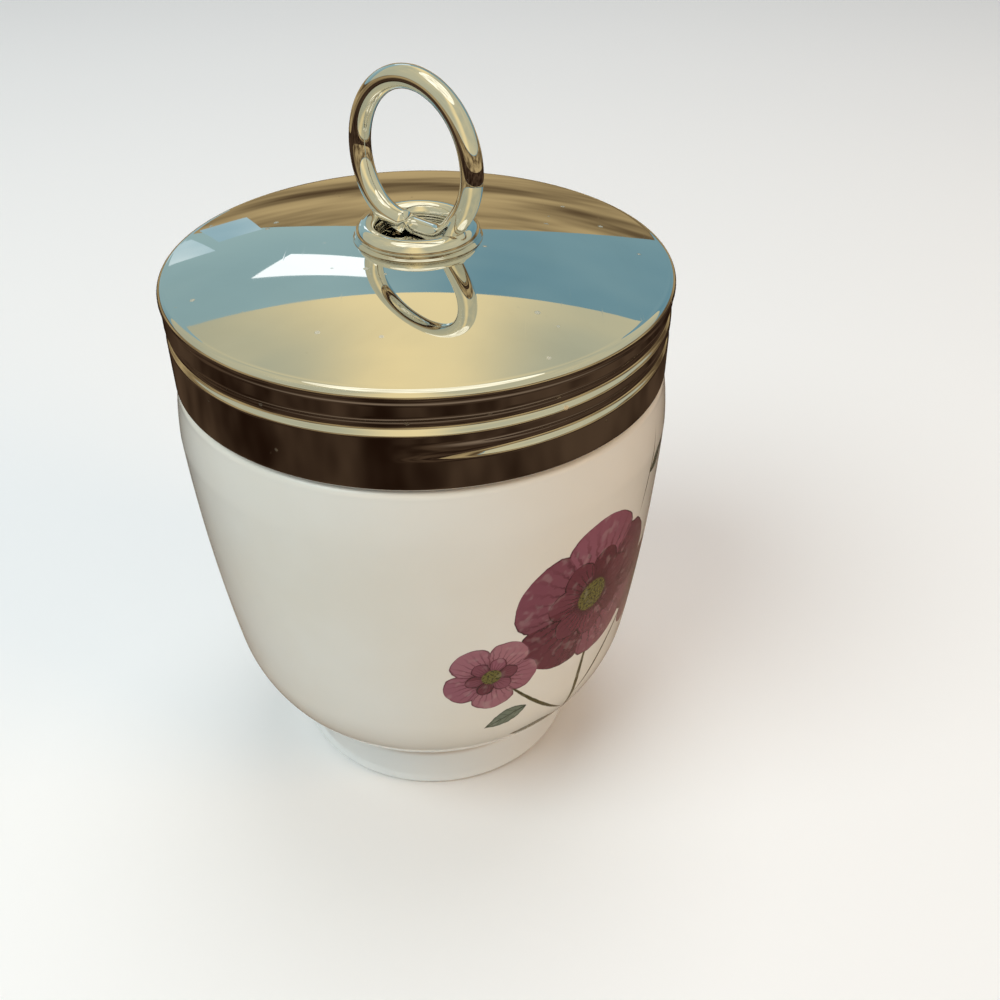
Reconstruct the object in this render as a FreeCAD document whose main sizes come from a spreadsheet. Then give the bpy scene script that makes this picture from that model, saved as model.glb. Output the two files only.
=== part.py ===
import FreeCAD, Part
import Sketcher
import math
import os

# Egg coddler: a porcelain cup with a moulded screw neck, and a pressed metal screw lid
# whose lift ring is bent from one wire and soldered on.
# Origin at the centre of the foot, on the surface it stands on, +Z up, millimetres.

doc = FreeCAD.newDocument("egg_coddler")
dims = doc.addObject("Spreadsheet::Sheet", "dims")

sizes = {
    # foot ring
    "foot_radius": 19.8,
    "foot_tread": 3.2,
    "foot_edge": 0.7,
    "foot_height": 6.8,
    "base_recess": 2.4,
    "recess_flare": 1.0,
    # outside of the bowl, from the foot up to the ledge under the lid
    "knee_radius": 27.6,
    "knee_height": 21.0,
    "knee_arc": 20.0,
    "side_arc": 264.0,
    "shoulder_radius": 30.1,
    "shoulder_drop": 6.4,
    "shoulder_arc": 40.0,
    "ledge_radius": 29.5,
    "ledge_height": 58.0,
    "ledge_edge": 1.0,
    # neck and mouth
    "neck_clearance": 1.2,
    "neck_height": 11.0,
    "neck_wall": 3.4,
    "lip_round": 1.1,
    "mouth_depth": 11.5,
    # inside of the bowl
    "wall": 3.2,
    "floor_height": 6.8,
    "floor_radius": 9.0,
    "floor_arc": 21.0,
    # screw thread
    "thread_pitch": 3.0,
    "thread_turns": 1.5,
    "thread_rise": 4.9,
    "thread_azimuth": -95.0,
    "thread_root": 1.5,
    "thread_crest": 0.8,
    "cup_thread_depth": 0.85,
    "lid_thread_depth": 0.75,
    # lid
    "skirt_radius": 29.5,
    "skirt_drop": 11.7,
    "sheet": 0.6,
    "lid_rim_gap": 0.35,
    "dome_rise": 3.1,
    "bead_radius": 0.9,
    "bead_stand": 0.15,
    "bead_depth": 1.53,
    "hem_round": 0.25,
    "groove_radius": 1.15,
    "groove_depth": 0.45,
    # lift ring: heights are from the flat underside of its half-round base,
    # angles from the bottom of the round to its two ends
    "wire_diameter": 2.54,
    "ring_radius": 8.46,
    "ring_height": 8.58,
    "ring_offset": 0.2,
    "ring_turn": -42.4,
    "limb_angle": 35.0,
    "cut_end_angle": 6.0,
    "loop_radius": 5.85,
    "base_level": 0.1,
    "bar_offset": 0.3,
    # solder bed under the loop
    "solder_gap": 0.05,
    "solder_bed": 0.2,
    "solder_reach": 1.15,
}
for row, (alias, value) in enumerate(sizes.items(), start=1):
    dims.set("A%d" % row, alias)
    dims.set("B%d" % row, str(value))
    dims.setAlias("B%d" % row, alias)
doc.recompute()


def expression(text):
    """Write a formula over the sheet's sizes the way the document wants it."""
    words = []
    word = ""
    for letter in text + " ":
        if letter.isalnum() or letter == "_":
            word += letter
            continue
        if word in sizes:
            word = "<<dims>>." + word
        words.append(word + letter)
        word = ""
    return "".join(words).strip()


def value(text):
    return float(dims.evalExpression(expression(text)))


def origin_plane(body, role):
    for feature in body.Origin.OriginFeatures:
        if feature.Role == role:
            return feature
    raise RuntimeError("no plane " + role)


def short_arc(start, end, bow):
    """Arc between two points. A positive radius bows to the right of the way from start to end."""
    radius = abs(bow)
    first, last = (start, end) if bow > 0 else (end, start)
    chord = last - first
    half = chord.Length / 2
    toward = FreeCAD.Vector(-chord.y, chord.x, 0).normalize()
    centre = (first + last) / 2 + toward * math.sqrt(radius * radius - half * half)
    angles = [math.atan2(point.y - centre.y, point.x - centre.x) for point in (first, last)]
    if angles[1] < angles[0]:
        angles[1] += 2 * math.pi
    return Part.ArcOfCircle(Part.Circle(centre, FreeCAD.Vector(0, 0, 1), radius), *angles)


def outline_sketch(body, name, corners, azimuth=None):
    """Closed outline in the upright plane. Each corner is (across, up, radius of the arc to the next or None)."""
    sketch = body.newObject("Sketcher::SketchObject", name)
    sketch.AttachmentSupport = [(origin_plane(body, "XZ_Plane"), "")]
    sketch.MapMode = "FlatFace"
    if azimuth is not None:
        turn = FreeCAD.Rotation(FreeCAD.Vector(0, 1, 0), 0)
        sketch.AttachmentOffset = FreeCAD.Placement(FreeCAD.Vector(0, 0, 0), turn)
        sketch.setExpression("AttachmentOffset.Rotation.Angle", expression(azimuth))
    points = [FreeCAD.Vector(value(across), value(up), 0) for across, up, bow in corners]
    count = len(corners)
    ends = []
    for index, (across, up, bow) in enumerate(corners):
        start = points[index]
        end = points[(index + 1) % count]
        if bow is None:
            sketch.addGeometry(Part.LineSegment(start, end), False)
            ends.append((1, 2))
            continue
        sketch.addGeometry(short_arc(start, end, value(bow)), False)
        ends.append((1, 2) if value(bow) > 0 else (2, 1))
    for index, (across, up, bow) in enumerate(corners):
        before = (index - 1) % count
        joint = Sketcher.Constraint("Coincident", before, ends[before][1], index, ends[index][0])
        sketch.addConstraint(joint)
        for kind, text, axis in (("DistanceX", across, -2), ("DistanceY", up, -1)):
            if text == "0":
                on_axis = Sketcher.Constraint("PointOnObject", index, ends[index][0], axis)
                sketch.addConstraint(on_axis)
                continue
            size = Sketcher.Constraint(kind, -1, 1, index, ends[index][0], value(text))
            number = sketch.addConstraint(size)
            sketch.setExpression("Constraints[%d]" % number, expression(text))
        if bow is not None:
            size = Sketcher.Constraint("Radius", index, abs(value(bow)))
            number = sketch.addConstraint(size)
            sketch.setExpression("Constraints[%d]" % number, expression("abs(" + bow + ")"))
    return sketch


def revolve(body, name, sketch):
    turned = body.newObject("PartDesign::Revolution", name)
    turned.Profile = sketch
    turned.ReferenceAxis = (sketch, ["V_Axis"])
    turned.Angle = 360.0
    sketch.Visibility = False
    doc.recompute()
    return turned


def helix(body, kind, name, sketch, turns):
    coil = body.newObject("PartDesign::" + kind, name)
    coil.Profile = sketch
    coil.ReferenceAxis = (sketch, ["V_Axis"])
    coil.Mode = "pitch-turns-angle"
    coil.HasBeenEdited = True
    coil.setExpression("Pitch", expression("thread_pitch"))
    coil.setExpression("Turns", expression(turns))
    coil.Angle = 0.0
    coil.LeftHanded = False
    coil.Reversed = False
    sketch.Visibility = False
    doc.recompute()
    return coil


def make_cup():
    """Porcelain cup: foot ring, egg-shaped bowl, ledge for the lid's skirt and a threaded neck."""
    body = doc.addObject("PartDesign::Body", "cup")
    body.Label = "cup"
    neck = "(skirt_radius - sheet - neck_clearance)"
    mouth = "(skirt_radius - sheet - neck_clearance - neck_wall)"
    lip = "(ledge_height + neck_height)"
    shoulder = "(ledge_height - shoulder_drop)"
    corners = [
        ("0", "base_recess", None),
        ("foot_radius - foot_tread - recess_flare", "base_recess", None),
        ("foot_radius - foot_tread", "foot_edge", "foot_edge"),
        ("foot_radius - foot_tread + foot_edge", "0", None),
        ("foot_radius - foot_edge", "0", "foot_edge"),
        ("foot_radius", "foot_edge", None),
        ("foot_radius - foot_edge / 2", "foot_height", "knee_arc"),
        ("knee_radius", "knee_height", "side_arc"),
        ("shoulder_radius", shoulder, "shoulder_arc"),
        ("ledge_radius", "ledge_height - ledge_edge", "ledge_edge"),
        ("ledge_radius - ledge_edge", "ledge_height", None),
        (neck, "ledge_height", None),
        (neck, lip + " - lip_round", "lip_round"),
        (neck + " - lip_round", lip, None),
        (mouth + " + lip_round", lip, "lip_round"),
        (mouth, lip + " - lip_round", None),
        (mouth, lip + " - mouth_depth", None),
        ("shoulder_radius - wall", shoulder + " - wall", "-side_arc"),
        ("knee_radius - wall", "knee_height + wall / 2", "-floor_arc"),
        ("floor_radius", "floor_height", None),
        ("0", "floor_height", None),
    ]
    revolve(body, "cup_solid", outline_sketch(body, "cup_outline", corners))
    inner = neck + " - thread_root / 4"
    outer = neck + " + cup_thread_depth"
    middle = "ledge_height + thread_rise + thread_pitch / 2"
    ridge = [
        (inner, middle + " - thread_root / 2", None),
        (outer, middle + " - thread_crest / 2", None),
        (outer, middle + " + thread_crest / 2", None),
        (inner, middle + " + thread_root / 2", None),
    ]
    sketch = outline_sketch(body, "cup_thread_outline", ridge, "thread_azimuth")
    helix(body, "AdditiveHelix", "cup_thread", sketch, "thread_turns - 0.5")
    return body


def make_lid():
    """Pressed lid: shallow dome, rolled rim bead and a skirt with the thread rolled into it."""
    body = doc.addObject("PartDesign::Body", "lid")
    body.Label = "lid"
    rim = "(ledge_height + lid_rim_gap + skirt_drop)"
    foot = "(ledge_height + lid_rim_gap)"
    inside = "skirt_radius - sheet"
    outer_edge = "skirt_radius + bead_stand - bead_radius"
    inner_edge = inside + " - bead_radius"
    outer_dome = "((" + outer_edge + ") ^ 2 + dome_rise ^ 2) / 2 / dome_rise"
    inner_dome = "((" + inner_edge + ") ^ 2 + dome_rise ^ 2) / 2 / dome_rise"
    corners = [
        ("0", rim + " + dome_rise - sheet", None),
        ("0", rim + " + dome_rise", "-(" + outer_dome + ")"),
        (outer_edge, rim, "-bead_radius"),
        ("skirt_radius + bead_stand", rim + " - bead_radius", "-bead_radius"),
        ("skirt_radius", rim + " - bead_depth", None),
        ("skirt_radius", foot + " + hem_round", "-hem_round"),
        ("skirt_radius - hem_round", foot, None),
        (inside, foot, None),
        (inside, rim + " - sheet - bead_radius", "bead_radius"),
        (inner_edge, rim + " - sheet", inner_dome),
    ]
    revolve(body, "lid_shell", outline_sketch(body, "lid_outline", corners))
    start = "ledge_height + thread_rise"
    ridge = [
        (inside + " + sheet / 2", start + " - thread_root / 2", None),
        (inside + " + sheet / 2", start + " + thread_root / 2", None),
        (inside + " - lid_thread_depth", start + " + thread_crest / 2", None),
        (inside + " - lid_thread_depth", start + " - thread_crest / 2", None),
    ]
    sketch = outline_sketch(body, "lid_thread_outline", ridge, "thread_azimuth")
    helix(body, "AdditiveHelix", "lid_thread", sketch, "thread_turns")
    half = "sqrt(groove_radius ^ 2 - (groove_radius - groove_depth) ^ 2)"
    clear = "skirt_radius + sheet"
    groove = [
        ("skirt_radius", start + " + " + half, "groove_radius"),
        ("skirt_radius", start + " - " + half, None),
        (clear, start + " - " + half, None),
        (clear, start + " + " + half, None),
    ]
    before = body.Shape.Volume
    sketch = outline_sketch(body, "lid_groove_outline", groove, "thread_azimuth")
    helix(body, "SubtractiveHelix", "lid_groove", sketch, "thread_turns")
    if body.Shape.Volume >= before:
        raise RuntimeError("the rolled groove cut nothing")
    return body


def make_lift_ring():
    """Bent wire: an upright finger ring that runs into a flat loop with a bar across, filed flat underneath."""
    lid_top = "ledge_height + lid_rim_gap + skirt_drop + dome_rise"
    upright = doc.addObject("Part::Torus", "upright_ring")
    upright.setExpression("Radius1", expression("ring_radius"))
    upright.setExpression("Radius2", expression("wire_diameter / 2"))
    upright.setExpression("Angle3", expression("360 - limb_angle - cut_end_angle"))
    stand = FreeCAD.Rotation(FreeCAD.Vector(1, 0, 0), 90)
    turn = FreeCAD.Rotation(FreeCAD.Vector(0, 1, 0), value("90 - limb_angle"))
    upright.Placement.Rotation = turn * stand
    upright.setExpression("Placement.Base.y", expression("-ring_offset"))
    upright.setExpression("Placement.Base.z", expression("ring_height"))
    loop = doc.addObject("Part::Torus", "base_loop")
    loop.setExpression("Radius1", expression("loop_radius"))
    loop.setExpression("Radius2", expression("wire_diameter / 2"))
    loop.setExpression("Placement.Base.z", expression("base_level"))
    reach = "sqrt(loop_radius ^ 2 - bar_offset ^ 2)"
    bar = doc.addObject("Part::Cylinder", "bar")
    bar.setExpression("Radius", expression("wire_diameter / 2"))
    bar.setExpression("Height", expression("2 * " + reach))
    bar.Placement.Rotation = FreeCAD.Rotation(FreeCAD.Vector(0, 1, 0), 90)
    bar.setExpression("Placement.Base.x", expression("-" + reach))
    bar.setExpression("Placement.Base.y", expression("bar_offset"))
    bar.setExpression("Placement.Base.z", expression("base_level"))
    filed = doc.addObject("Part::Cylinder", "filed_away")
    filed.setExpression("Radius", expression("loop_radius + wire_diameter"))
    filed.setExpression("Height", expression("2 * wire_diameter"))
    filed.setExpression("Placement.Base.z", expression("-2 * wire_diameter"))
    looped = doc.addObject("Part::Fuse", "ring_and_loop")
    looped.Base = upright
    looped.Tool = loop
    wire = doc.addObject("Part::Fuse", "bent_wire")
    wire.Base = looped
    wire.Tool = bar
    ring = doc.addObject("Part::Cut", "lift_ring")
    ring.Base = wire
    ring.Tool = filed
    ring.Label = "lift_ring"
    ring.setExpression("Placement.Base.z", expression(lid_top + " + 2 * solder_gap + solder_bed"))
    ring.setExpression("Placement.Rotation.Angle", expression("ring_turn"))
    doc.recompute()
    return ring


def make_solder_ring():
    """Thin round bed of solder between the lid and the flat loop."""
    base = "ledge_height + lid_rim_gap + skirt_drop + dome_rise"
    outer = doc.addObject("Part::Cylinder", "solder_outside")
    outer.setExpression("Radius", expression("loop_radius + solder_reach"))
    inner = doc.addObject("Part::Cylinder", "solder_inside")
    inner.setExpression("Radius", expression("loop_radius - solder_reach"))
    for cylinder in (outer, inner):
        cylinder.setExpression("Height", expression("solder_gap + solder_bed + dome_rise"))
        cylinder.setExpression("Placement.Base.z", expression(base + " - dome_rise"))
    ball = doc.addObject("Part::Sphere", "solder_under")
    edge = "(skirt_radius + bead_stand - bead_radius)"
    dome = "(" + edge + " ^ 2 + dome_rise ^ 2) / 2 / dome_rise"
    ball.setExpression("Radius", expression(dome))
    ball.setExpression("Placement.Base.z", expression(base + " + solder_gap - " + dome))
    band = doc.addObject("Part::Cut", "solder_band")
    band.Base = outer
    band.Tool = inner
    bed = doc.addObject("Part::Cut", "solder_ring")
    bed.Base = band
    bed.Tool = ball
    bed.Label = "solder_ring"
    doc.recompute()
    return bed


def write_parts(parts):
    for item in doc.Objects:
        if "Invalid" in item.State or "Error" in item.State:
            raise RuntimeError(item.Name + " failed to build: " + str(item.State))
    for piece in parts:
        if piece.Shape.isNull() or not piece.Shape.isValid() or len(piece.Shape.Solids) != 1:
            raise RuntimeError(piece.Label + " is not one sound solid")
    os.makedirs("parts", exist_ok=True)
    for piece in parts:
        piece.Shape.exportStep("parts/" + piece.Label + ".step")
        box = piece.Shape.BoundBox
        print(piece.Label, "volume %.1f" % piece.Shape.Volume, "from z %.2f to %.2f" % (box.ZMin, box.ZMax))


write_parts([make_cup(), make_lid(), make_lift_ring(), make_solder_ring()])
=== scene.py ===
import math

import bmesh
import bpy
from mathutils import Matrix, Vector


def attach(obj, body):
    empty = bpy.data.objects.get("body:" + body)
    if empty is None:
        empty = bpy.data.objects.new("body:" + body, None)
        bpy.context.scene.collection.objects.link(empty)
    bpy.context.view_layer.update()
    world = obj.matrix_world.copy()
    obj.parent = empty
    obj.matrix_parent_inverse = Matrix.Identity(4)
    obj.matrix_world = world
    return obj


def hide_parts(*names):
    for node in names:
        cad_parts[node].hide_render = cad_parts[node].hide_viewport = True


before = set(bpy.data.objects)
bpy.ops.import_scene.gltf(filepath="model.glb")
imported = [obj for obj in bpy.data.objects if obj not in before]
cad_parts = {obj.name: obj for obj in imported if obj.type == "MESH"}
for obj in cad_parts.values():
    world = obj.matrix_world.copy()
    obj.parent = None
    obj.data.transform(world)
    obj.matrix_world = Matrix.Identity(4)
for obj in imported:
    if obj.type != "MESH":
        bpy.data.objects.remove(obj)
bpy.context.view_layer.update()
print("frame loaded")

mm = 0.001
scene = bpy.context.scene
scene.view_settings.view_transform = "Standard"

cameraSettings = {
    "place": (9.56, -115.22, 122.2),  # mm: right of the middle, in front, above
    "down": 37.08,  # degrees below level
    "roll": 0.40,
    "focalPixels": 1064.0,  # focal length in pixels of a 1000 pixel frame
    "framePixels": 1000.0,
    "nearClip": 0.01,
}


def makeCamera(settings):
    data = bpy.data.cameras.new("camera")
    data.sensor_width = 36.0
    data.lens = data.sensor_width * settings["focalPixels"] / settings["framePixels"]
    data.clip_start = settings["nearClip"]
    camera = bpy.data.objects.new("camera", data)
    scene.collection.objects.link(camera)
    tilt = Matrix.Rotation(math.radians(90 - settings["down"]), 4, "X")
    roll = Matrix.Rotation(math.radians(settings["roll"]), 4, "Z")
    camera.matrix_world = Matrix.Translation(Vector(settings["place"]) * mm) @ tilt @ roll
    scene.camera = camera


makeCamera(cameraSettings)
print("camera set")


# Outlines are lists of (across, up, bow) in mm. The bow is the radius of the arc
# to the next corner, positive when it bows to the right of the way there.

def outlinePoints(corners, step):
    points = []
    for (x0, z0, bow), (x1, z1, _) in zip(corners, corners[1:]):
        start, end = Vector((x0, z0)), Vector((x1, z1))
        chord = end - start
        if not bow:
            count = max(1, math.ceil(chord.length / step))
            points += [start + chord * (i / count) for i in range(count)]
            continue
        radius = abs(bow)
        half = chord.length / 2
        side = Vector((-chord.y, chord.x)).normalized() * math.copysign(1, bow)
        centre = (start + end) / 2 + side * math.sqrt(radius * radius - half * half)
        turn = 2 * math.asin(half / radius) * math.copysign(1, bow)
        count = max(2, math.ceil(radius * abs(turn) / step), math.ceil(abs(turn) / math.radians(8)))
        spoke = start - centre
        points += [centre + Matrix.Rotation(turn * i / count, 2) @ spoke for i in range(count)]
    points.append(Vector(corners[-1][:2]))
    return points


def spinOutline(points, steps, closed=False, shape=None):
    shape = shape or bmesh.new()
    verts = [shape.verts.new((p.x * mm, 0, p.y * mm)) for p in points]
    pairs = list(zip(verts, verts[1:])) + ([(verts[-1], verts[0])] if closed else [])
    edges = [shape.edges.new(pair) for pair in pairs]
    bmesh.ops.spin(shape, geom=verts + edges, cent=(0, 0, 0), axis=(0, 0, 1),
                   angle=2 * math.pi, steps=steps, use_merge=True)
    bmesh.ops.remove_doubles(shape, verts=shape.verts, dist=1e-7)
    bmesh.ops.recalc_face_normals(shape, faces=shape.faces)
    return shape


def finishPiece(shape, name, material, body, stands):
    mesh = bpy.data.meshes.new(name)
    shape.to_mesh(mesh)
    shape.free()
    for face in mesh.polygons:
        face.use_smooth = True
    piece = bpy.data.objects.new(name, mesh)
    scene.collection.objects.link(piece)
    mesh.materials.append(material)
    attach(piece, body)
    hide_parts(*stands)
    return piece


def smoothStep(x):
    x = min(max(x, 0.0), 1.0)
    return x * x * (3 - 2 * x)


# Node helpers

def newGroup(name, inputs, outputs):
    tree = bpy.data.node_groups.new(name, "ShaderNodeTree")
    for label, kind, default in inputs:
        socket = tree.interface.new_socket(
            name=label, in_out="INPUT", socket_type="NodeSocket" + kind)
        if default is not None:
            socket.default_value = default
    for label, kind in outputs:
        tree.interface.new_socket(name=label, in_out="OUTPUT", socket_type="NodeSocket" + kind)
    return tree, tree.nodes.new("NodeGroupInput"), tree.nodes.new("NodeGroupOutput")


def feed(tree, socket, source):
    if isinstance(source, bpy.types.NodeSocket):
        tree.links.new(source, socket)
    else:
        socket.default_value = source


def calc(tree, operation, a, b=None, c=None):
    node = tree.nodes.new("ShaderNodeMath")
    node.operation = operation
    for index, source in enumerate((a, b, c)):
        if source is not None:
            feed(tree, node.inputs[index], source)
    return node.outputs[0]


def ramp(tree, source, low, high, toLow=0.0, toHigh=1.0):
    node = tree.nodes.new("ShaderNodeMapRange")
    node.interpolation_type = "SMOOTHSTEP"
    for index, item in enumerate((source, low, high, toLow, toHigh)):
        feed(tree, node.inputs[index], item)
    return node.outputs[0]


def mixColour(tree, factor, a, b):
    node = tree.nodes.new("ShaderNodeMix")
    node.data_type = "RGBA"
    feed(tree, node.inputs[0], factor)
    feed(tree, node.inputs[6], a)
    feed(tree, node.inputs[7], b)
    return node.outputs[2]


def noise(tree, vector, scale, detail=2.0, rough=0.5, distortion=0.0):
    node = tree.nodes.new("ShaderNodeTexNoise")
    feed(tree, node.inputs["Vector"], vector)
    node.inputs["Scale"].default_value = scale
    node.inputs["Detail"].default_value = detail
    node.inputs["Roughness"].default_value = rough
    node.inputs["Distortion"].default_value = distortion
    return node.outputs["Fac"]


def distance(tree, a, b):
    node = tree.nodes.new("ShaderNodeVectorMath")
    node.operation = "DISTANCE"
    feed(tree, node.inputs[0], a)
    feed(tree, node.inputs[1], b)
    return node.outputs["Value"]


def splitPlace(tree, place):
    node = tree.nodes.new("ShaderNodeSeparateXYZ")
    tree.links.new(place, node.inputs[0])
    return node.outputs


def objectPlace(tree):
    return tree.nodes.new("ShaderNodeTexCoord").outputs["Object"]


def scaled(tree, vector, scale, turn=(0, 0, 0), move=(0, 0, 0)):
    node = tree.nodes.new("ShaderNodeMapping")
    feed(tree, node.inputs["Vector"], vector)
    node.inputs["Scale"].default_value = scale
    node.inputs["Rotation"].default_value = turn
    node.inputs["Location"].default_value = move
    return node.outputs[0]


def newMaterial(name):
    material = bpy.data.materials.new(name)
    material.use_nodes = True
    tree = material.node_tree
    return material, tree, tree.nodes["Principled BSDF"]


def placeGroup(tree, group, values):
    node = tree.nodes.new("ShaderNodeGroup")
    node.node_tree = group
    for label, item in values.items():
        feed(tree, node.inputs[label], item)
    return node


def addBump(tree, shader, height, strength, depth):
    bump = tree.nodes.new("ShaderNodeBump")
    bump.inputs["Strength"].default_value = strength
    bump.inputs["Distance"].default_value = depth
    tree.links.new(height, bump.inputs["Height"])
    tree.links.new(bump.outputs["Normal"], shader.inputs["Normal"])


# Fine scratches, dust specks and wiped haze, shared by all the plated metal

marksLook = {
    "scratchTurns": (12, 71, 133),  # degrees
    "scratchScale": (2600, 60, 400), "scratchTilt": (0.1, 0.05), "scratchPatches": (90, 90, 90),
    "speckScale": 420, "speckPatches": 260, "hazeScale": 55,
    "scratchRough": 0.16, "speckRough": 0.5, "hazeRough": 0.05, "leastRough": 0.018,
    "speckRise": 0.6, "scratchSink": 0.3, "hazeTarnish": 0.35,
}


def makeHandlingMarks(look):
    tree, inside, outside = newGroup(
        "handlingMarks",
        [("Place", "Vector", None), ("Scratches", "Float", 0.5), ("Specks", "Float", 0.5),
         ("Haze", "Float", 0.5)],
        [("Roughness", "Float"), ("Height", "Float"), ("Tarnish", "Float")])
    place = inside.outputs["Place"]
    lines = None
    for index, degrees in enumerate(look["scratchTurns"]):
        turn = (*look["scratchTilt"], math.radians(degrees))
        stretched = scaled(tree, place, look["scratchScale"], turn, (index, 0, 0))
        streak = ramp(tree, noise(tree, stretched, 1.0, 1.0), 0.70, 0.80)
        spread = scaled(tree, place, look["scratchPatches"], move=(index, 3, 1))
        patch = ramp(tree, noise(tree, spread, 1.0), 0.5, 0.65)
        streak = calc(tree, "MULTIPLY", streak, patch)
        lines = streak if lines is None else calc(tree, "MAXIMUM", lines, streak)
    lines = calc(tree, "MULTIPLY", lines, inside.outputs["Scratches"])
    dots = tree.nodes.new("ShaderNodeTexVoronoi")
    dots.inputs["Scale"].default_value = look["speckScale"]
    tree.links.new(place, dots.inputs["Vector"])
    keep = ramp(tree, noise(tree, place, look["speckPatches"], 0.0), 0.60, 0.66)
    speck = calc(tree, "MULTIPLY", ramp(tree, dots.outputs["Distance"], 0.08, 0.17, 1.0, 0.0), keep)
    speck = calc(tree, "MULTIPLY", speck, inside.outputs["Specks"])
    cloud = ramp(tree, noise(tree, place, look["hazeScale"], 4.0, 0.6, 0.6), 0.42, 0.72)
    haze = calc(tree, "MULTIPLY", cloud, inside.outputs["Haze"])
    roughness = calc(tree, "MULTIPLY", speck, look["speckRough"])
    roughness = calc(tree, "MULTIPLY_ADD", lines, look["scratchRough"], roughness)
    clouded = calc(tree, "MULTIPLY_ADD", haze, look["hazeRough"], look["leastRough"])
    roughness = calc(tree, "ADD", roughness, clouded)
    height = calc(tree, "MULTIPLY", speck, look["speckRise"])
    height = calc(tree, "SUBTRACT", height, calc(tree, "MULTIPLY", lines, look["scratchSink"]))
    tarnish = calc(tree, "MAXIMUM", speck, calc(tree, "MULTIPLY", haze, look["hazeTarnish"]))
    tree.links.new(roughness, outside.inputs["Roughness"])
    tree.links.new(height, outside.inputs["Height"])
    tree.links.new(tarnish, outside.inputs["Tarnish"])
    return tree


handlingMarks = makeHandlingMarks(marksLook)


def makePlated(name, look):
    material, tree, shader = newMaterial(name)
    marks = placeGroup(tree, handlingMarks, {
        "Place": objectPlace(tree), "Scratches": look["scratches"],
        "Specks": look["specks"], "Haze": look["haze"]})
    colour = mixColour(tree, marks.outputs["Tarnish"], look["colour"], look["tarnish"])
    tree.links.new(colour, shader.inputs["Base Color"])
    tree.links.new(marks.outputs["Roughness"], shader.inputs["Roughness"])
    addBump(tree, shader, marks.outputs["Height"], look["bump"], 0.02 * mm)
    shader.inputs["Metallic"].default_value = 1.0
    return material


lidPlating = makePlated("lidPlating", {
    "colour": (0.84, 0.84, 0.82, 1), "tarnish": (0.62, 0.60, 0.56, 1),
    "scratches": 0.5, "specks": 0.9, "haze": 0.5, "bump": 0.3})
ringPlating = makePlated("ringPlating", {
    "colour": (0.86, 0.86, 0.84, 1), "tarnish": (0.60, 0.57, 0.50, 1),
    "scratches": 0.4, "specks": 0.3, "haze": 0.5, "bump": 0.3})
solderPlating = makePlated("solderPlating", {
    "colour": (0.74, 0.74, 0.71, 1), "tarnish": (0.40, 0.37, 0.30, 1),
    "scratches": 0.3, "specks": 1.0, "haze": 1.0, "bump": 0.6})
print("plating made")


# Botanical spray on the glaze, drawn on the unrolled side of the cup in mm.
# A leaf or stem is a pointed oval; a flower repeats one petal around its middle.

def shapeOutputs(tree, outside, gap, vein):
    mask = ramp(tree, gap, 0.0, 0.14)
    edge = calc(tree, "MULTIPLY", ramp(tree, gap, 0.10, 0.42, 1.0, 0.0), mask)
    tree.links.new(mask, outside.inputs["Mask"])
    tree.links.new(calc(tree, "MAXIMUM", edge, calc(tree, "MULTIPLY", vein, mask)), outside.inputs["Dark"])


def pastEnds(tree, along, inRange):
    # grows fast beyond either tip, where along leaves the range from 0 to 1
    past = calc(tree, "ABSOLUTE", calc(tree, "SUBTRACT", along, inRange))
    return calc(tree, "MULTIPLY", past, 50)


def raggedEdge(tree, place, scale, amount):
    wobble = calc(tree, "SUBTRACT", noise(tree, place, scale), 0.5)
    return calc(tree, "MULTIPLY", wobble, amount)


def makeLeafGroup():
    tree, inside, outside = newGroup(
        "leafShape",
        [("Place", "Vector", None), ("Length", "Float", 5.0), ("Width", "Float", 2.0),
         ("Bend", "Float", 0.0), ("Ragged", "Float", 0.2)],
        [("Mask", "Float"), ("Dark", "Float")])
    place = inside.outputs["Place"]
    forward, sideways, _ = splitPlace(tree, place)
    along = calc(tree, "DIVIDE", forward, inside.outputs["Length"])
    curve = calc(tree, "MULTIPLY", calc(tree, "MULTIPLY", along, along), inside.outputs["Bend"])
    across = calc(tree, "SUBTRACT", sideways, curve)
    across = calc(tree, "ADD", across, raggedEdge(tree, place, 0.9, inside.outputs["Ragged"]))
    across = calc(tree, "ABSOLUTE", across)
    inRange = calc(tree, "MINIMUM", calc(tree, "MAXIMUM", along, 0.0), 1.0)
    belly = calc(tree, "SINE", calc(tree, "MULTIPLY", calc(tree, "POWER", inRange, 0.85), math.pi))
    belly = calc(tree, "MULTIPLY", belly, calc(tree, "MULTIPLY", inside.outputs["Width"], 0.5))
    gap = calc(tree, "MAXIMUM", across, pastEnds(tree, along, inRange))
    gap = calc(tree, "SUBTRACT", belly, gap)
    rib = ramp(tree, across, 0.05, 0.16, 0.9, 0.0)
    slant = calc(tree, "SUBTRACT", forward, calc(tree, "MULTIPLY", across, 1.1))
    comb = calc(tree, "SINE", calc(tree, "MULTIPLY", slant, 5.5))
    side = calc(tree, "MULTIPLY", ramp(tree, comb, 0.72, 0.98), 0.45)
    shapeOutputs(tree, outside, gap, calc(tree, "MAXIMUM", rib, side))
    return tree


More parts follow.
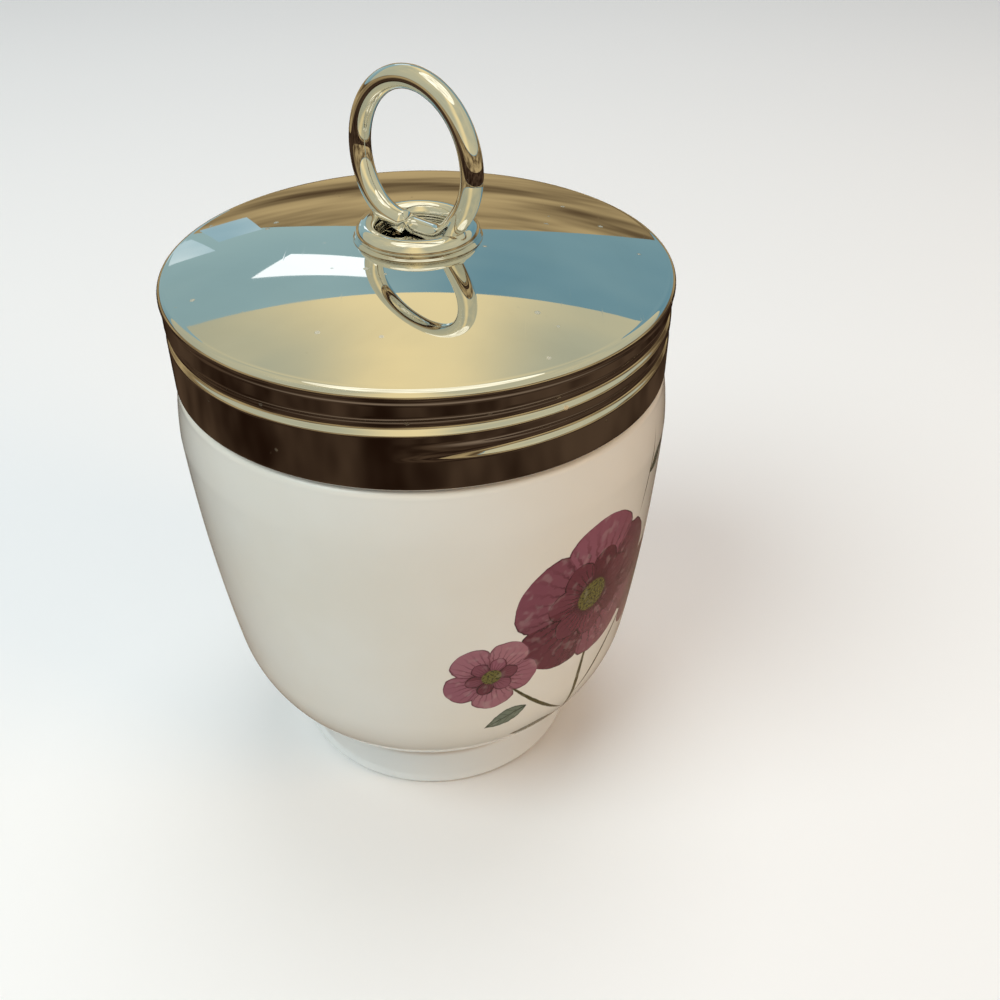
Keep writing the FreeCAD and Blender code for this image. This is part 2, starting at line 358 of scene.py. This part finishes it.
def makeFlowerGroup():
    tree, inside, outside = newGroup(
        "flowerShape",
        [("Place", "Vector", None), ("Radius", "Float", 5.0), ("Sector", "Float", 1.0),
         ("Turn", "Float", 0.0), ("Fullness", "Float", 0.5), ("Ragged", "Float", 0.2)],
        [("Mask", "Float"), ("Dark", "Float"), ("Petal", "Float")])
    place = inside.outputs["Place"]
    across, up, _ = splitPlace(tree, place)
    reach = distance(tree, place, (0, 0, 0))
    angle = calc(tree, "ADD", calc(tree, "ARCTAN2", up, across), inside.outputs["Turn"])
    sectors = calc(tree, "DIVIDE", angle, inside.outputs["Sector"])
    count = calc(tree, "FLOOR", sectors)
    local = calc(tree, "SUBTRACT", sectors, calc(tree, "ADD", count, 0.5))
    local = calc(tree, "MULTIPLY", local, inside.outputs["Sector"])
    along = calc(tree, "MULTIPLY", reach, calc(tree, "COSINE", local))
    along = calc(tree, "DIVIDE", along, inside.outputs["Radius"])
    sideways = calc(tree, "MULTIPLY", reach, calc(tree, "SINE", local))
    inRange = calc(tree, "MINIMUM", calc(tree, "MAXIMUM", along, 0.0), 1.0)
    belly = calc(tree, "SINE", calc(tree, "MULTIPLY", calc(tree, "POWER", inRange, 1.7), math.pi))
    belly = calc(tree, "POWER", calc(tree, "MAXIMUM", belly, 0.0), 0.55)
    width = calc(tree, "MULTIPLY", inside.outputs["Radius"], inside.outputs["Fullness"])
    belly = calc(tree, "MULTIPLY", belly, width)
    gap = calc(tree, "ADD", belly, raggedEdge(tree, place, 0.55, inside.outputs["Ragged"]))
    gap = calc(tree, "SUBTRACT", gap, calc(tree, "ABSOLUTE", sideways))
    gap = calc(tree, "SUBTRACT", gap, pastEnds(tree, along, inRange))
    waver = calc(tree, "MULTIPLY", noise(tree, place, 1.2), 5)
    fan = calc(tree, "SINE", calc(tree, "MULTIPLY_ADD", local, 34, waver))
    lines = calc(tree, "MULTIPLY", ramp(tree, fan, 0.45, 0.95), ramp(tree, along, 0.25, 0.95, 0.85, 0.05))
    throat = ramp(tree, along, 0.20, 0.55, 0.8, 0.0)
    shapeOutputs(tree, outside, gap, calc(tree, "MAXIMUM", lines, throat))
    tone = calc(tree, "FRACT", calc(tree, "MULTIPLY", calc(tree, "ADD", count, 7), 0.381))
    tree.links.new(tone, outside.inputs["Petal"])
    return tree


leafShape = makeLeafGroup()
flowerShape = makeFlowerGroup()

inks = {
    "mauve": ((0.270, 0.092, 0.130, 1), (0.070, 0.012, 0.022, 1)),
    "maroon": ((0.115, 0.022, 0.036, 1), (0.022, 0.004, 0.008, 1)),
    "plum": ((0.170, 0.044, 0.066, 1), (0.032, 0.006, 0.011, 1)),
    "rose": ((0.350, 0.150, 0.180, 1), (0.115, 0.030, 0.045, 1)),
    "sage": ((0.150, 0.185, 0.135, 1), (0.040, 0.055, 0.036, 1)),
    "olive": ((0.150, 0.135, 0.035, 1), (0.052, 0.046, 0.012, 1)),
}

# Places are (to the right, up) in mm from the middle line of the spray, turns in degrees
spray = {
    "stems": [
        # ink, place, turn, length, width, bend
        ("olive", (1.0, 9.0), 92, 24.0, 0.9, -2.0),
        ("olive", (0.6, 15.0), 140, 20.0, 0.7, -3.0),
        ("olive", (0.6, 17.0), 44, 18.0, 0.7, 2.5),
        ("olive", (9.5, 43.0), 70, 13.5, 0.45, 1.5),
    ],
    "leaves": [
        ("sage", (0.8, 10.5), 22, 13.5, 5.0, 1.8),
        ("sage", (0.6, 12.0), 156, 10.0, 4.2, 1.6),
        ("sage", (-7.5, 21.5), 196, 6.5, 3.0, 0.9),
        ("sage", (11.3, 48.8), 20, 6.0, 2.4, 0.6),
        ("maroon", (31.0, 44.0), -70, 6.0, 2.8, 0.8),
    ],
    "flowers": [
        # place, radius, petals, turn, fullness, light ink, dark ink
        ((0.8, 37.0), 11.6, 5, 26, 0.50, "mauve", "maroon"),
        ((0.8, 37.0), 6.8, 7, 8, 0.36, "maroon", "plum"),
        ((-12.8, 29.4), 6.2, 5, 50, 0.46, "rose", "mauve"),
        ((-12.8, 29.4), 3.4, 6, 20, 0.36, "mauve", "maroon"),
        ((14.8, 30.0), 7.0, 6, 40, 0.42, "maroon", "mauve"),
    ],
    "hearts": [((0.8, 37.0), 2.5), ((-12.8, 29.4), 1.35), ((14.8, 30.0), 1.6)],
}


def movedTo(tree, flat, place, turn):
    angle = math.radians(turn)
    x, z = place
    along = x * math.cos(angle) + z * math.sin(angle)
    across = z * math.cos(angle) - x * math.sin(angle)
    return scaled(tree, flat, (1, 1, 1), (0, 0, -angle), (-along, -across, 0))


def addSpray(tree, flat, colour, design):
    for ink, place, turn, length, width, bend in design["stems"] + design["leaves"]:
        leaf = placeGroup(tree, leafShape, {
            "Place": movedTo(tree, flat, place, turn), "Length": length, "Width": width, "Bend": bend,
            "Ragged": min(0.4, width * 0.2)})
        light, dark = inks[ink]
        fill = mixColour(tree, leaf.outputs["Dark"], light, dark)
        colour = mixColour(tree, leaf.outputs["Mask"], colour, fill)
    for place, radius, count, turn, fullness, first, second in design["flowers"]:
        flower = placeGroup(tree, flowerShape, {
            "Place": movedTo(tree, flat, place, 0), "Radius": radius, "Sector": 2 * math.pi / count,
            "Turn": math.radians(turn), "Fullness": fullness, "Ragged": 0.9})
        light = mixColour(tree, flower.outputs["Petal"], inks[first][0], inks[second][0])
        dark = mixColour(tree, flower.outputs["Petal"], inks[first][1], inks[second][1])
        fill = mixColour(tree, flower.outputs["Dark"], light, dark)
        colour = mixColour(tree, flower.outputs["Mask"], colour, fill)
    for place, radius in design["hearts"]:
        reach = distance(tree, flat, (*place, 0))
        heart = ramp(tree, reach, radius * 0.86, radius, 1.0, 0.0)
        seeds = ramp(tree, noise(tree, flat, 3.2, 2.0), 0.45, 0.62)
        colour = mixColour(tree, heart, colour, mixColour(tree, seeds, inks["olive"][0], inks["olive"][1]))
    return colour


glazeLook = {
    "body": (0.80, 0.775, 0.70, 1), "warm": (0.77, 0.73, 0.635, 1), "foot": (0.78, 0.80, 0.775, 1),
    # the brown on the underside of the bowl, just above the foot, is painted shade
    "underBowlShade": (0.36, 0.24, 0.15, 1), "bare": (0.66, 0.60, 0.50, 1),
    "sprayDegrees": -47.0, "sprays": 2, "radius": 29.0,
    # heights and radii in mm where a tint starts and ends
    "footHeights": (5.0, 7.5), "underBowlShadeStarts": (5.4, 6.6), "underBowlShadeEnds": (10.4, 12.6),
    "underBowlShadeRadii": (19.0, 19.4), "outerRadii": (24.6, 25.2), "underBowlShadeDepth": 0.72,
    "roughness": 0.16, "coat": 0.6, "coatRoughness": 0.04,
}


def unrolled(tree, east, north, up, look):
    half = math.pi / look["sprays"]
    angle = calc(tree, "ARCTAN2", north, east)
    angle = calc(tree, "SUBTRACT", angle, math.radians(look["sprayDegrees"]))
    angle = calc(tree, "WRAP", angle, half, -half)
    flat = tree.nodes.new("ShaderNodeCombineXYZ")
    tree.links.new(calc(tree, "MULTIPLY", angle, look["radius"]), flat.inputs[0])
    tree.links.new(up, flat.inputs[1])
    return flat.outputs[0]


def makeGlaze(look):
    material, tree, shader = newMaterial("porcelainGlaze")
    place = objectPlace(tree)
    east, north, height = splitPlace(tree, place)
    up = calc(tree, "MULTIPLY", height, 1 / mm)
    radius = distance(tree, scaled(tree, place, (1 / mm, 1 / mm, 0)), (0, 0, 0))

    blotch = ramp(tree, noise(tree, place, 45, 3.0), 0.35, 0.75)
    glaze = mixColour(tree, blotch, look["body"], look["warm"])
    glaze = mixColour(tree, ramp(tree, up, *look["footHeights"], 1.0, 0.0), glaze, look["foot"])
    # painted shade: the underside of the bowl above the foot is darkened brown all round
    underBowlShade = calc(tree, "MULTIPLY", ramp(tree, up, *look["underBowlShadeStarts"]), ramp(tree, radius, *look["underBowlShadeRadii"]))
    underBowlShade = calc(tree, "MULTIPLY", underBowlShade, ramp(tree, up, *look["underBowlShadeEnds"], 1.0, 0.0))
    glaze = mixColour(tree, calc(tree, "MULTIPLY", underBowlShade, look["underBowlShadeDepth"]), glaze, look["underBowlShade"])
    printed = addSpray(tree, unrolled(tree, east, north, up, look), glaze, spray)
    worn = ramp(tree, noise(tree, place, 700, 1.0), 0.25, 0.45, 0.9, 1.0)
    worn = calc(tree, "MULTIPLY", worn, ramp(tree, radius, *look["outerRadii"]))  # none inside the cup
    colour = mixColour(tree, worn, glaze, printed)
    bare = calc(tree, "MULTIPLY", ramp(tree, up, 0.10, 0.28, 1.0, 0.0), 0.8)  # unglazed tread of the foot
    tree.links.new(mixColour(tree, bare, colour, look["bare"]), shader.inputs["Base Color"])
    rough = ramp(tree, noise(tree, place, 160, 3.0), 0.3, 0.8, look["roughness"], look["roughness"] + 0.08)
    tree.links.new(calc(tree, "MULTIPLY_ADD", bare, 0.5, rough), shader.inputs["Roughness"])
    tree.links.new(ramp(tree, up, 0.1, 0.4, 0.0, look["coat"]), shader.inputs["Coat Weight"])
    shader.inputs["Coat Roughness"].default_value = look["coatRoughness"]
    addBump(tree, shader, noise(tree, place, 130, 2.0), 0.12, 0.3 * mm)
    return material


porcelainGlaze = makeGlaze(glazeLook)
print("glaze made")


# Cup

threadSizes = {
    "pitch": 3.0, "turns": 1.5, "startHeight": 62.9, "startDegrees": -95.0, "fadeDegrees": 34.0,
    # rolled into the lid: a groove outside and a rib inside
    "grooveRadius": 1.15, "grooveDepth": 0.45, "innerDepth": 0.70, "innerHalf": 0.85,
    # moulded on the neck
    "ridgeDepth": 0.85, "ridgeRoot": 0.75, "ridgeCrest": 0.40, "ridgeTurns": 1.0, "ridgeFoot": 0.3,
    "ridgeSink": 0.05, "ridgeFade": 34.0,
}

cupSizes = {
    "corners": [
        (0, 2.4, 0), (15.6, 2.4, 0), (16.6, 0.7, 0.7), (17.3, 0, 0), (19.1, 0, 0.7), (19.8, 0.7, 0),
        (19.5, 6.5, -0.9), (19.95, 7.6, 20.0), (27.6, 21.0, 264.0), (30.1, 51.6, 40.0), (29.5, 57.0, 1.0),
        (28.5, 58.0, 0), (27.7, 58.0, 0), (27.7, 67.9, 1.1), (26.6, 69.0, 0), (25.4, 69.0, 1.1),
        (24.3, 67.9, 0), (24.3, 57.5, 0), (26.9, 48.4, -264.0), (24.4, 22.6, -21.0), (9.0, 6.8, 0),
        (0, 6.8, 0),
    ],
    "step": 0.6, "steps": 240, "neckRadius": 27.7, "ridgeSteps": 180,
}


def addNeckThread(shape, sizes, thread):
    # a ridge along a helix, its foot sunk into the neck and its two ends run out
    middle = thread["startHeight"] + thread["pitch"] / 2
    crest, foot = thread["ridgeCrest"], -thread["ridgeFoot"]
    rows = []
    for i in range(sizes["ridgeSteps"] + 1):
        part = i / sizes["ridgeSteps"]
        degrees = thread["startDegrees"] + 360 * thread["ridgeTurns"] * part
        end = min(part, 1 - part) * 360 * thread["ridgeTurns"]
        rise = thread["ridgeDepth"] * smoothStep(end / thread["ridgeFade"]) - thread["ridgeSink"]
        height = middle + thread["pitch"] * thread["ridgeTurns"] * part
        turn = Matrix.Rotation(math.radians(degrees), 3, "Z")
        upper = [(rise, crest * 0.5), (rise * 0.85, crest * 1.15), (foot, thread["ridgeRoot"])]
        lower = [(out, -up) for out, up in reversed(upper)]
        row = [turn @ Vector((sizes["neckRadius"] + out, 0, height + up)) for out, up in lower + upper]
        rows.append([shape.verts.new(point * mm) for point in row])
    faces = [shape.faces.new(rows[0]), shape.faces.new(reversed(rows[-1]))]
    for low, high in zip(rows, rows[1:]):
        for i in range(len(low)):
            j = (i + 1) % len(low)
            faces.append(shape.faces.new((low[i], high[i], high[j], low[j])))
    bmesh.ops.recalc_face_normals(shape, faces=faces)


def makeCup(sizes, thread):
    shape = spinOutline(outlinePoints(sizes["corners"], sizes["step"]), sizes["steps"])
    addNeckThread(shape, sizes, thread)
    return finishPiece(shape, "cupGlaze", porcelainGlaze, "cup", ["cup"])


makeCup(cupSizes, threadSizes)
print("cup made")


# Lid

lidSizes = {
    "outside": [
        (0, 73.15, -134.87), (28.75, 70.05, -0.9), (29.65, 69.15, -0.9), (29.5, 68.52, 0),
        (29.5, 58.6, -0.25), (29.25, 58.35, 0)],
    "inside": [
        (29.25, 58.35, 0), (28.9, 58.35, 0), (28.9, 68.55, 0.9), (28.0, 69.45, 128.0), (0, 72.55, 0)],
    "step": 0.22, "domeStep": 1.6, "steps": 360,
    "skirtFrom": 28.3, "skirtMiddle": 29.2, "rolledFrom": 58.7, "rolledTo": 68.4,
}


def rolledOffset(x, y, z, thread):
    # how far the rolled thread moves the skirt's outer and inner faces at a place
    degrees = (math.degrees(math.atan2(y, x)) - thread["startDegrees"]) % 360
    outer = inner = 0.0
    for lap in range(2):
        travel = degrees + 360 * lap
        if travel > 360 * thread["turns"]:
            continue
        fade = smoothStep(min(travel, 360 * thread["turns"] - travel) / thread["fadeDegrees"])
        away = z - thread["startHeight"] - thread["pitch"] * travel / 360
        centre = thread["grooveRadius"] - thread["grooveDepth"]
        if abs(away) < thread["grooveRadius"]:
            outer -= fade * max(0.0, math.sqrt(thread["grooveRadius"] ** 2 - away ** 2) - centre)
        inner -= fade * thread["innerDepth"] * smoothStep(1.4 * (1 - abs(away) / thread["innerHalf"]))
    return outer, inner


def spacedPoints(corners, sizes):
    # close together on the rim and skirt, wide apart on the dome
    dense = outlinePoints(corners, sizes["step"])
    kept = [dense[0]]
    for point in dense[1:-1]:
        if point.x > sizes["skirtFrom"] or (point - kept[-1]).length > sizes["domeStep"]:
            kept.append(point)
    return kept + [dense[-1]]


def makeLid(sizes, thread):
    outline = spacedPoints(sizes["outside"], sizes) + spacedPoints(sizes["inside"], sizes)[1:]
    shape = spinOutline(outline, sizes["steps"])
    for vert in shape.verts:
        x, y, z = vert.co / mm
        across = math.hypot(x, y)
        if across < sizes["skirtFrom"] or not sizes["rolledFrom"] <= z <= sizes["rolledTo"]:
            continue
        outer, inner = rolledOffset(x, y, z, thread)
        moved = across + (outer if across > sizes["skirtMiddle"] else inner)
        vert.co = Vector((x / across * moved, y / across * moved, z)) * mm
    return finishPiece(shape, "lidShell", lidPlating, "lid", ["lid"])


makeLid(lidSizes, threadSizes)
print("lid made")


# Lift ring: the wire follows a line of poles in its own frame, x along the ring and y across it.
# Its base is filed flat, so the loop and the bar keep only their upper halves.

ringSizes = {
    "wire": 1.27, "radius": 8.46, "height": 8.58, "turn": -42.4, "level": 73.45, "loop": 5.85, "low": 0.1,
    "cutEnd": 1.0, "bar": 0.3, "tuck": 1.1, "tuckDegrees": 60, "arc": (6, 301, 14), "cross": (30, 270),
    "limb": (0.35, 1.95), "bend": (1.75, 0.6), "barStart": 3.6,
    "cutBevel": 0.22, "blob": (5.15, 0.45, 0.75), "blobSize": (1.75, 1.45, 1.15),
    "loopStep": 0.2, "loopSteps": 128,
}


def ringPoles(s):
    # round the upright ring from its cut end, down into the base and along the bar
    bar, low = s["bar"], s["low"]
    crossFrom, crossOver = s["cross"]
    poles = []
    for degrees in range(*s["arc"]):
        angle = math.radians(degrees)
        crossed = min(max((degrees - crossFrom) / crossOver, 0), 1)
        across = -s["cutEnd"] + (s["cutEnd"] + bar) * math.sin(math.pi / 2 * crossed)
        reach = s["radius"] - s["tuck"] * max(0, 1 - degrees / s["tuckDegrees"]) ** 1.5
        poles.append((-s["radius"] * math.sin(angle), across, s["height"] - reach * math.cos(angle)))
    for inward, up in (s["limb"], s["bend"], (s["barStart"], low)):
        poles.append((s["loop"] - inward, bar, up))
    poles.append((-s["loop"] / 3, bar, low))
    poles.append((-math.sqrt(s["loop"] ** 2 - bar ** 2), bar, low))
    return poles


def bendWire(shape, poles, radius, bevel):
    curve = bpy.data.curves.new("wireLine", "CURVE")
    curve.dimensions = "3D"
    line = curve.splines.new("NURBS")
    line.points.add(len(poles) - 1)
    for point, pole in zip(line.points, poles):
        point.co = (*pole, 1)
    line.order_u = 4
    line.use_endpoint_u = True
    curve.resolution_u = 8
    curve.bevel_depth = radius
    curve.bevel_resolution = 10
    curve.use_fill_caps = True
    holder = bpy.data.objects.new("wireLine", curve)
    scene.collection.objects.link(holder)
    mesh = bpy.data.meshes.new_from_object(holder.evaluated_get(bpy.context.evaluated_depsgraph_get()))
    shape.from_mesh(mesh)
    bpy.data.objects.remove(holder)
    bpy.data.meshes.remove(mesh)
    bmesh.ops.remove_doubles(shape, verts=shape.verts, dist=1e-4)
    caps = [face for face in shape.faces if len(face.verts) > 4]
    edges = list({edge for face in caps for edge in face.edges})
    bmesh.ops.bevel(
        shape, geom=edges, offset=bevel, affect="EDGES", segments=3, profile=0.5, material=-1)


def fileFlat(shape):
    bmesh.ops.bisect_plane(
        shape, geom=shape.verts[:] + shape.edges[:] + shape.faces[:],
        plane_co=(0, 0, 0), plane_no=(0, 0, -1), clear_outer=True)
    bmesh.ops.holes_fill(shape, edges=[edge for edge in shape.edges if edge.is_boundary])


def makeRing(s):
    shape = bmesh.new()
    bendWire(shape, ringPoles(s), s["wire"], s["cutBevel"])
    place = Matrix.Translation(s["blob"]) @ Matrix.Diagonal((*s["blobSize"], 1))
    bmesh.ops.create_uvsphere(shape, u_segments=40, v_segments=24, radius=1, matrix=place)
    fileFlat(shape)
    bmesh.ops.scale(shape, vec=(mm, mm, mm), verts=shape.verts)
    wire, loop = s["wire"], s["loop"]
    reach = math.sqrt(wire ** 2 - s["low"] ** 2)
    half = [(loop + reach, 0, wire), (loop, s["low"] + wire, wire), (loop - reach, 0, 0)]
    spinOutline(outlinePoints(half, s["loopStep"]), s["loopSteps"], closed=True, shape=shape)
    lift = Matrix.Translation((0, 0, s["level"] * mm))
    turn = Matrix.Rotation(math.radians(s["turn"]), 4, "Z")
    bmesh.ops.transform(shape, matrix=lift @ turn, verts=shape.verts)
    return finishPiece(shape, "liftRing", ringPlating, "lid", ["lift_ring"])


makeRing(ringSizes)
print("ring made")


# Solder between the lid and the flat loop

solderSizes = {
    "corners": [
        (4.52, 73.14, 0), (4.56, 73.24, 0.4), (4.78, 73.40, 0), (6.95, 73.40, 0.5), (7.22, 73.18, 0.5),
        (7.42, 73.01, 0)],
    "step": 0.12, "steps": 128,
}


def makeSolder(sizes):
    shape = spinOutline(outlinePoints(sizes["corners"], sizes["step"]), sizes["steps"], closed=True)
    return finishPiece(shape, "solderBed", solderPlating, "riser", ["solder_ring"])


makeSolder(solderSizes)
print("solder made")


# Studio: a floor and three lamps, and round walls, flat rings and cards that only reflections see

studio = {
    "floor": {"size": 6.0, "below": 0.0002, "colour": (0.92, 0.92, 0.91, 1)},
    "flatRings": [
        {"name": "floorRing", "inner": 0.0205, "outer": 0.345, "height": 0.001,
         "low": (0.014, 0.006, 0.003, 1), "high": (0.075, 0.045, 0.026, 1), "grain": (12, 12, 1),
         "pale": (0.24, 0.175, 0.12, 1), "fade": (0.028, 0.088)},
        {"name": "ceiling", "inner": 0.002, "outer": 0.34, "height": 0.75,
         "low": (0.80, 0.74, 0.52, 1), "high": (1.50, 1.42, 1.12, 1), "grain": (4, 4, 4)},
    ],
    "bandRadius": 0.34, "bandStep": 3, "behind": 91,  # the last two in degrees
    "bands": [
        # each edge is (height behind the object, drop per square degree away from there, lowest)
        {"name": "tanBand", "bottom": (0.0, 0.0, 0.0), "top": (0.205, 0.00013, 0.11),
         "low": (0.085, 0.052, 0.025, 1), "high": (0.50, 0.37, 0.18, 1), "grain": (5, 5, 22)},
        {"name": "blueBand", "bottom": (0.205, 0.00013, 0.11), "top": (0.345, 0.00005, 0.115),
         "low": (0.14, 0.28, 0.34, 1), "high": (0.35, 0.50, 0.50, 1), "grain": (3, 3, 4),
         "middle": (-0.16, 0.05, 0.20)},
        {"name": "creamBand", "bottom": (0.345, 0.00005, 0.115), "top": (0.75, 0.0, 0.75),
         "low": (0.46, 0.46, 0.33, 1), "high": (1.02, 0.82, 0.42, 1), "grain": (2, 2, 3),
         "middle": (-0.03, 0.02, 0.16)},
    ],
    "cards": [
        # corners are (to the right, up) on an upright plane behind the object
        {"name": "windowCard", "back": 0.27,
         "corners": [(-0.133, 0.227), (-0.100, 0.200), (-0.049, 0.230), (-0.052, 0.262)],
         "low": (1.10, 1.22, 1.25, 1), "high": (1.35, 1.35, 1.35, 1), "grain": (1, 1, 1)},
        {"name": "sideWindow", "back": 0.27,
         "corners": [(-0.172, 0.118), (-0.142, 0.124), (-0.138, 0.160), (-0.168, 0.158)],
         "low": (0.42, 0.60, 0.66, 1), "high": (0.72, 0.86, 0.88, 1), "grain": (9, 9, 9)},
        {"name": "backWindow", "back": 0.27,
         "corners": [(-0.134, 0.112), (-0.108, 0.112), (-0.106, 0.144), (-0.132, 0.146)],
         "low": (0.30, 0.47, 0.54, 1), "high": (0.52, 0.68, 0.72, 1), "grain": (9, 9, 9)},
    ],
    "lamps": [
        {"name": "softKey", "place": (-0.45, -0.35, 0.75), "size": 0.6, "watts": 4.6,
         "colour": (0.88, 0.98, 1.0)},
        {"name": "warmSide", "place": (0.6, -0.25, 0.35), "size": 0.35, "watts": 1.5,
         "colour": (1.0, 0.60, 0.28)},
        {"name": "topFill", "place": (0.05, 0.25, 0.9), "size": 0.5, "watts": 2.2,
         "colour": (1.0, 1.0, 1.0)},
    ],
    "world": {"light": (0.80, 0.83, 0.86, 1), "strength": 0.38},
    "aim": (0.0, 0.0, 0.045),
}


def facing(place, aim):
    return (Vector(aim) - Vector(place)).to_track_quat("-Z", "Y").to_matrix().to_4x4()


def makeFloor(settings):
    shape = bmesh.new()
    bmesh.ops.create_grid(shape, x_segments=1, y_segments=1, size=settings["size"] / 2)
    mesh = bpy.data.meshes.new("floor")
    shape.to_mesh(mesh)
    shape.free()
    floor = bpy.data.objects.new("floor", mesh)
    floor.location.z = -settings["below"]
    scene.collection.objects.link(floor)
    material, tree, shader = newMaterial("floorPaint")
    shader.inputs["Base Color"].default_value = settings["colour"]
    shader.inputs["Roughness"].default_value = 0.9
    shader.inputs["Specular IOR Level"].default_value = 0.1
    mesh.materials.append(material)


def glowColour(tree, settings):
    # patches between two colours, gathered about a middle or faded from pale where the settings say
    place = objectPlace(tree)
    patches = noise(tree, scaled(tree, place, settings["grain"]), 1.0, 3.0, 0.6)
    patches = ramp(tree, patches, 0.32, 0.68)
    if "middle" in settings:
        centre, near, far = settings["middle"]
        away = calc(tree, "ABSOLUTE", calc(tree, "SUBTRACT", splitPlace(tree, place)[0], centre))
        gathered = calc(tree, "MULTIPLY", ramp(tree, away, near, far, 1.0, 0.0), 0.7)
        patches = calc(tree, "MULTIPLY_ADD", patches, 0.3, gathered)
    colour = mixColour(tree, patches, settings["low"], settings["high"])
    if "fade" in settings:
        away = distance(tree, place, (0, 0, settings["height"]))
        colour = mixColour(tree, ramp(tree, away, *settings["fade"]), settings["pale"], colour)
    return colour


def reflectedOnly(card, settings):
    material = bpy.data.materials.new(settings["name"])
    material.use_nodes = True
    tree = material.node_tree
    tree.nodes.remove(tree.nodes["Principled BSDF"])
    glow = tree.nodes.new("ShaderNodeEmission")
    tree.links.new(glowColour(tree, settings), glow.inputs["Color"])
    tree.links.new(glow.outputs[0], tree.nodes["Material Output"].inputs["Surface"])
    card.data.materials.append(material)
    card.visible_camera = False
    card.visible_diffuse = False
    card.visible_shadow = False
    card.visible_transmission = False


def meshObject(shape, name):
    mesh = bpy.data.meshes.new(name)
    shape.to_mesh(mesh)
    shape.free()
    made = bpy.data.objects.new(name, mesh)
    scene.collection.objects.link(made)
    return made


def makeCard(settings):
    shape = bmesh.new()
    shape.faces.new([shape.verts.new((x, settings["back"], z)) for x, z in settings["corners"]])
    reflectedOnly(meshObject(shape, settings["name"]), settings)


def makeBand(settings, radius, step, behind):
    shape = bmesh.new()
    rows = []
    for degrees in range(0, 360, step):
        away = (degrees - behind + 180) % 360 - 180
        x = radius * math.cos(math.radians(degrees))
        y = radius * math.sin(math.radians(degrees))
        ends = (settings["bottom"], settings["top"])
        heights = [max(highest - drop * away ** 2, lowest) for highest, drop, lowest in ends]
        rows.append([shape.verts.new((x, y, z)) for z in heights])
    for (a, b), (c, d) in zip(rows, rows[1:] + rows[:1]):
        shape.faces.new((a, c, d, b))
    reflectedOnly(meshObject(shape, settings["name"]), settings)


def makeFlatRing(settings):
    shape = bmesh.new()
    inner = bmesh.ops.create_circle(shape, segments=96, radius=settings["inner"])["verts"]
    outer = bmesh.ops.create_circle(shape, segments=96, radius=settings["outer"])["verts"]
    edges = list({edge for vert in inner + outer for edge in vert.link_edges})
    bmesh.ops.bridge_loops(shape, edges=edges)
    bmesh.ops.translate(shape, vec=(0, 0, settings["height"]), verts=shape.verts)
    reflectedOnly(meshObject(shape, settings["name"]), settings)


def makeLamp(settings, aim):
    data = bpy.data.lights.new(settings["name"], "AREA")
    data.shape = "DISK"
    data.size = settings["size"]
    data.energy = settings["watts"]
    data.color = settings["colour"]
    lamp = bpy.data.objects.new(settings["name"], data)
    scene.collection.objects.link(lamp)
    lamp.matrix_world = Matrix.Translation(settings["place"]) @ facing(settings["place"], aim)


def makeWorld(settings):
    world = bpy.data.worlds.new("softRoom")
    scene.world = world
    world.use_nodes = True
    tree = world.node_tree
    room = tree.nodes["Background"]
    room.inputs["Color"].default_value = settings["light"]
    room.inputs["Strength"].default_value = settings["strength"]
    plain = tree.nodes.new("ShaderNodeBackground")
    plain.inputs["Color"].default_value = (1, 1, 1, 1)
    rays = tree.nodes.new("ShaderNodeLightPath")
    choose = tree.nodes.new("ShaderNodeMixShader")
    tree.links.new(rays.outputs["Is Camera Ray"], choose.inputs[0])
    tree.links.new(room.outputs[0], choose.inputs[1])
    tree.links.new(plain.outputs[0], choose.inputs[2])
    tree.links.new(choose.outputs[0], tree.nodes["World Output"].inputs["Surface"])


makeFloor(studio["floor"])
for flatRing in studio["flatRings"]:
    makeFlatRing(flatRing)
for band in studio["bands"]:
    makeBand(band, studio["bandRadius"], studio["bandStep"], studio["behind"])
for card in studio["cards"]:
    makeCard(card)
for lamp in studio["lamps"]:
    makeLamp(lamp, studio["aim"])
makeWorld(studio["world"])
print("studio made")
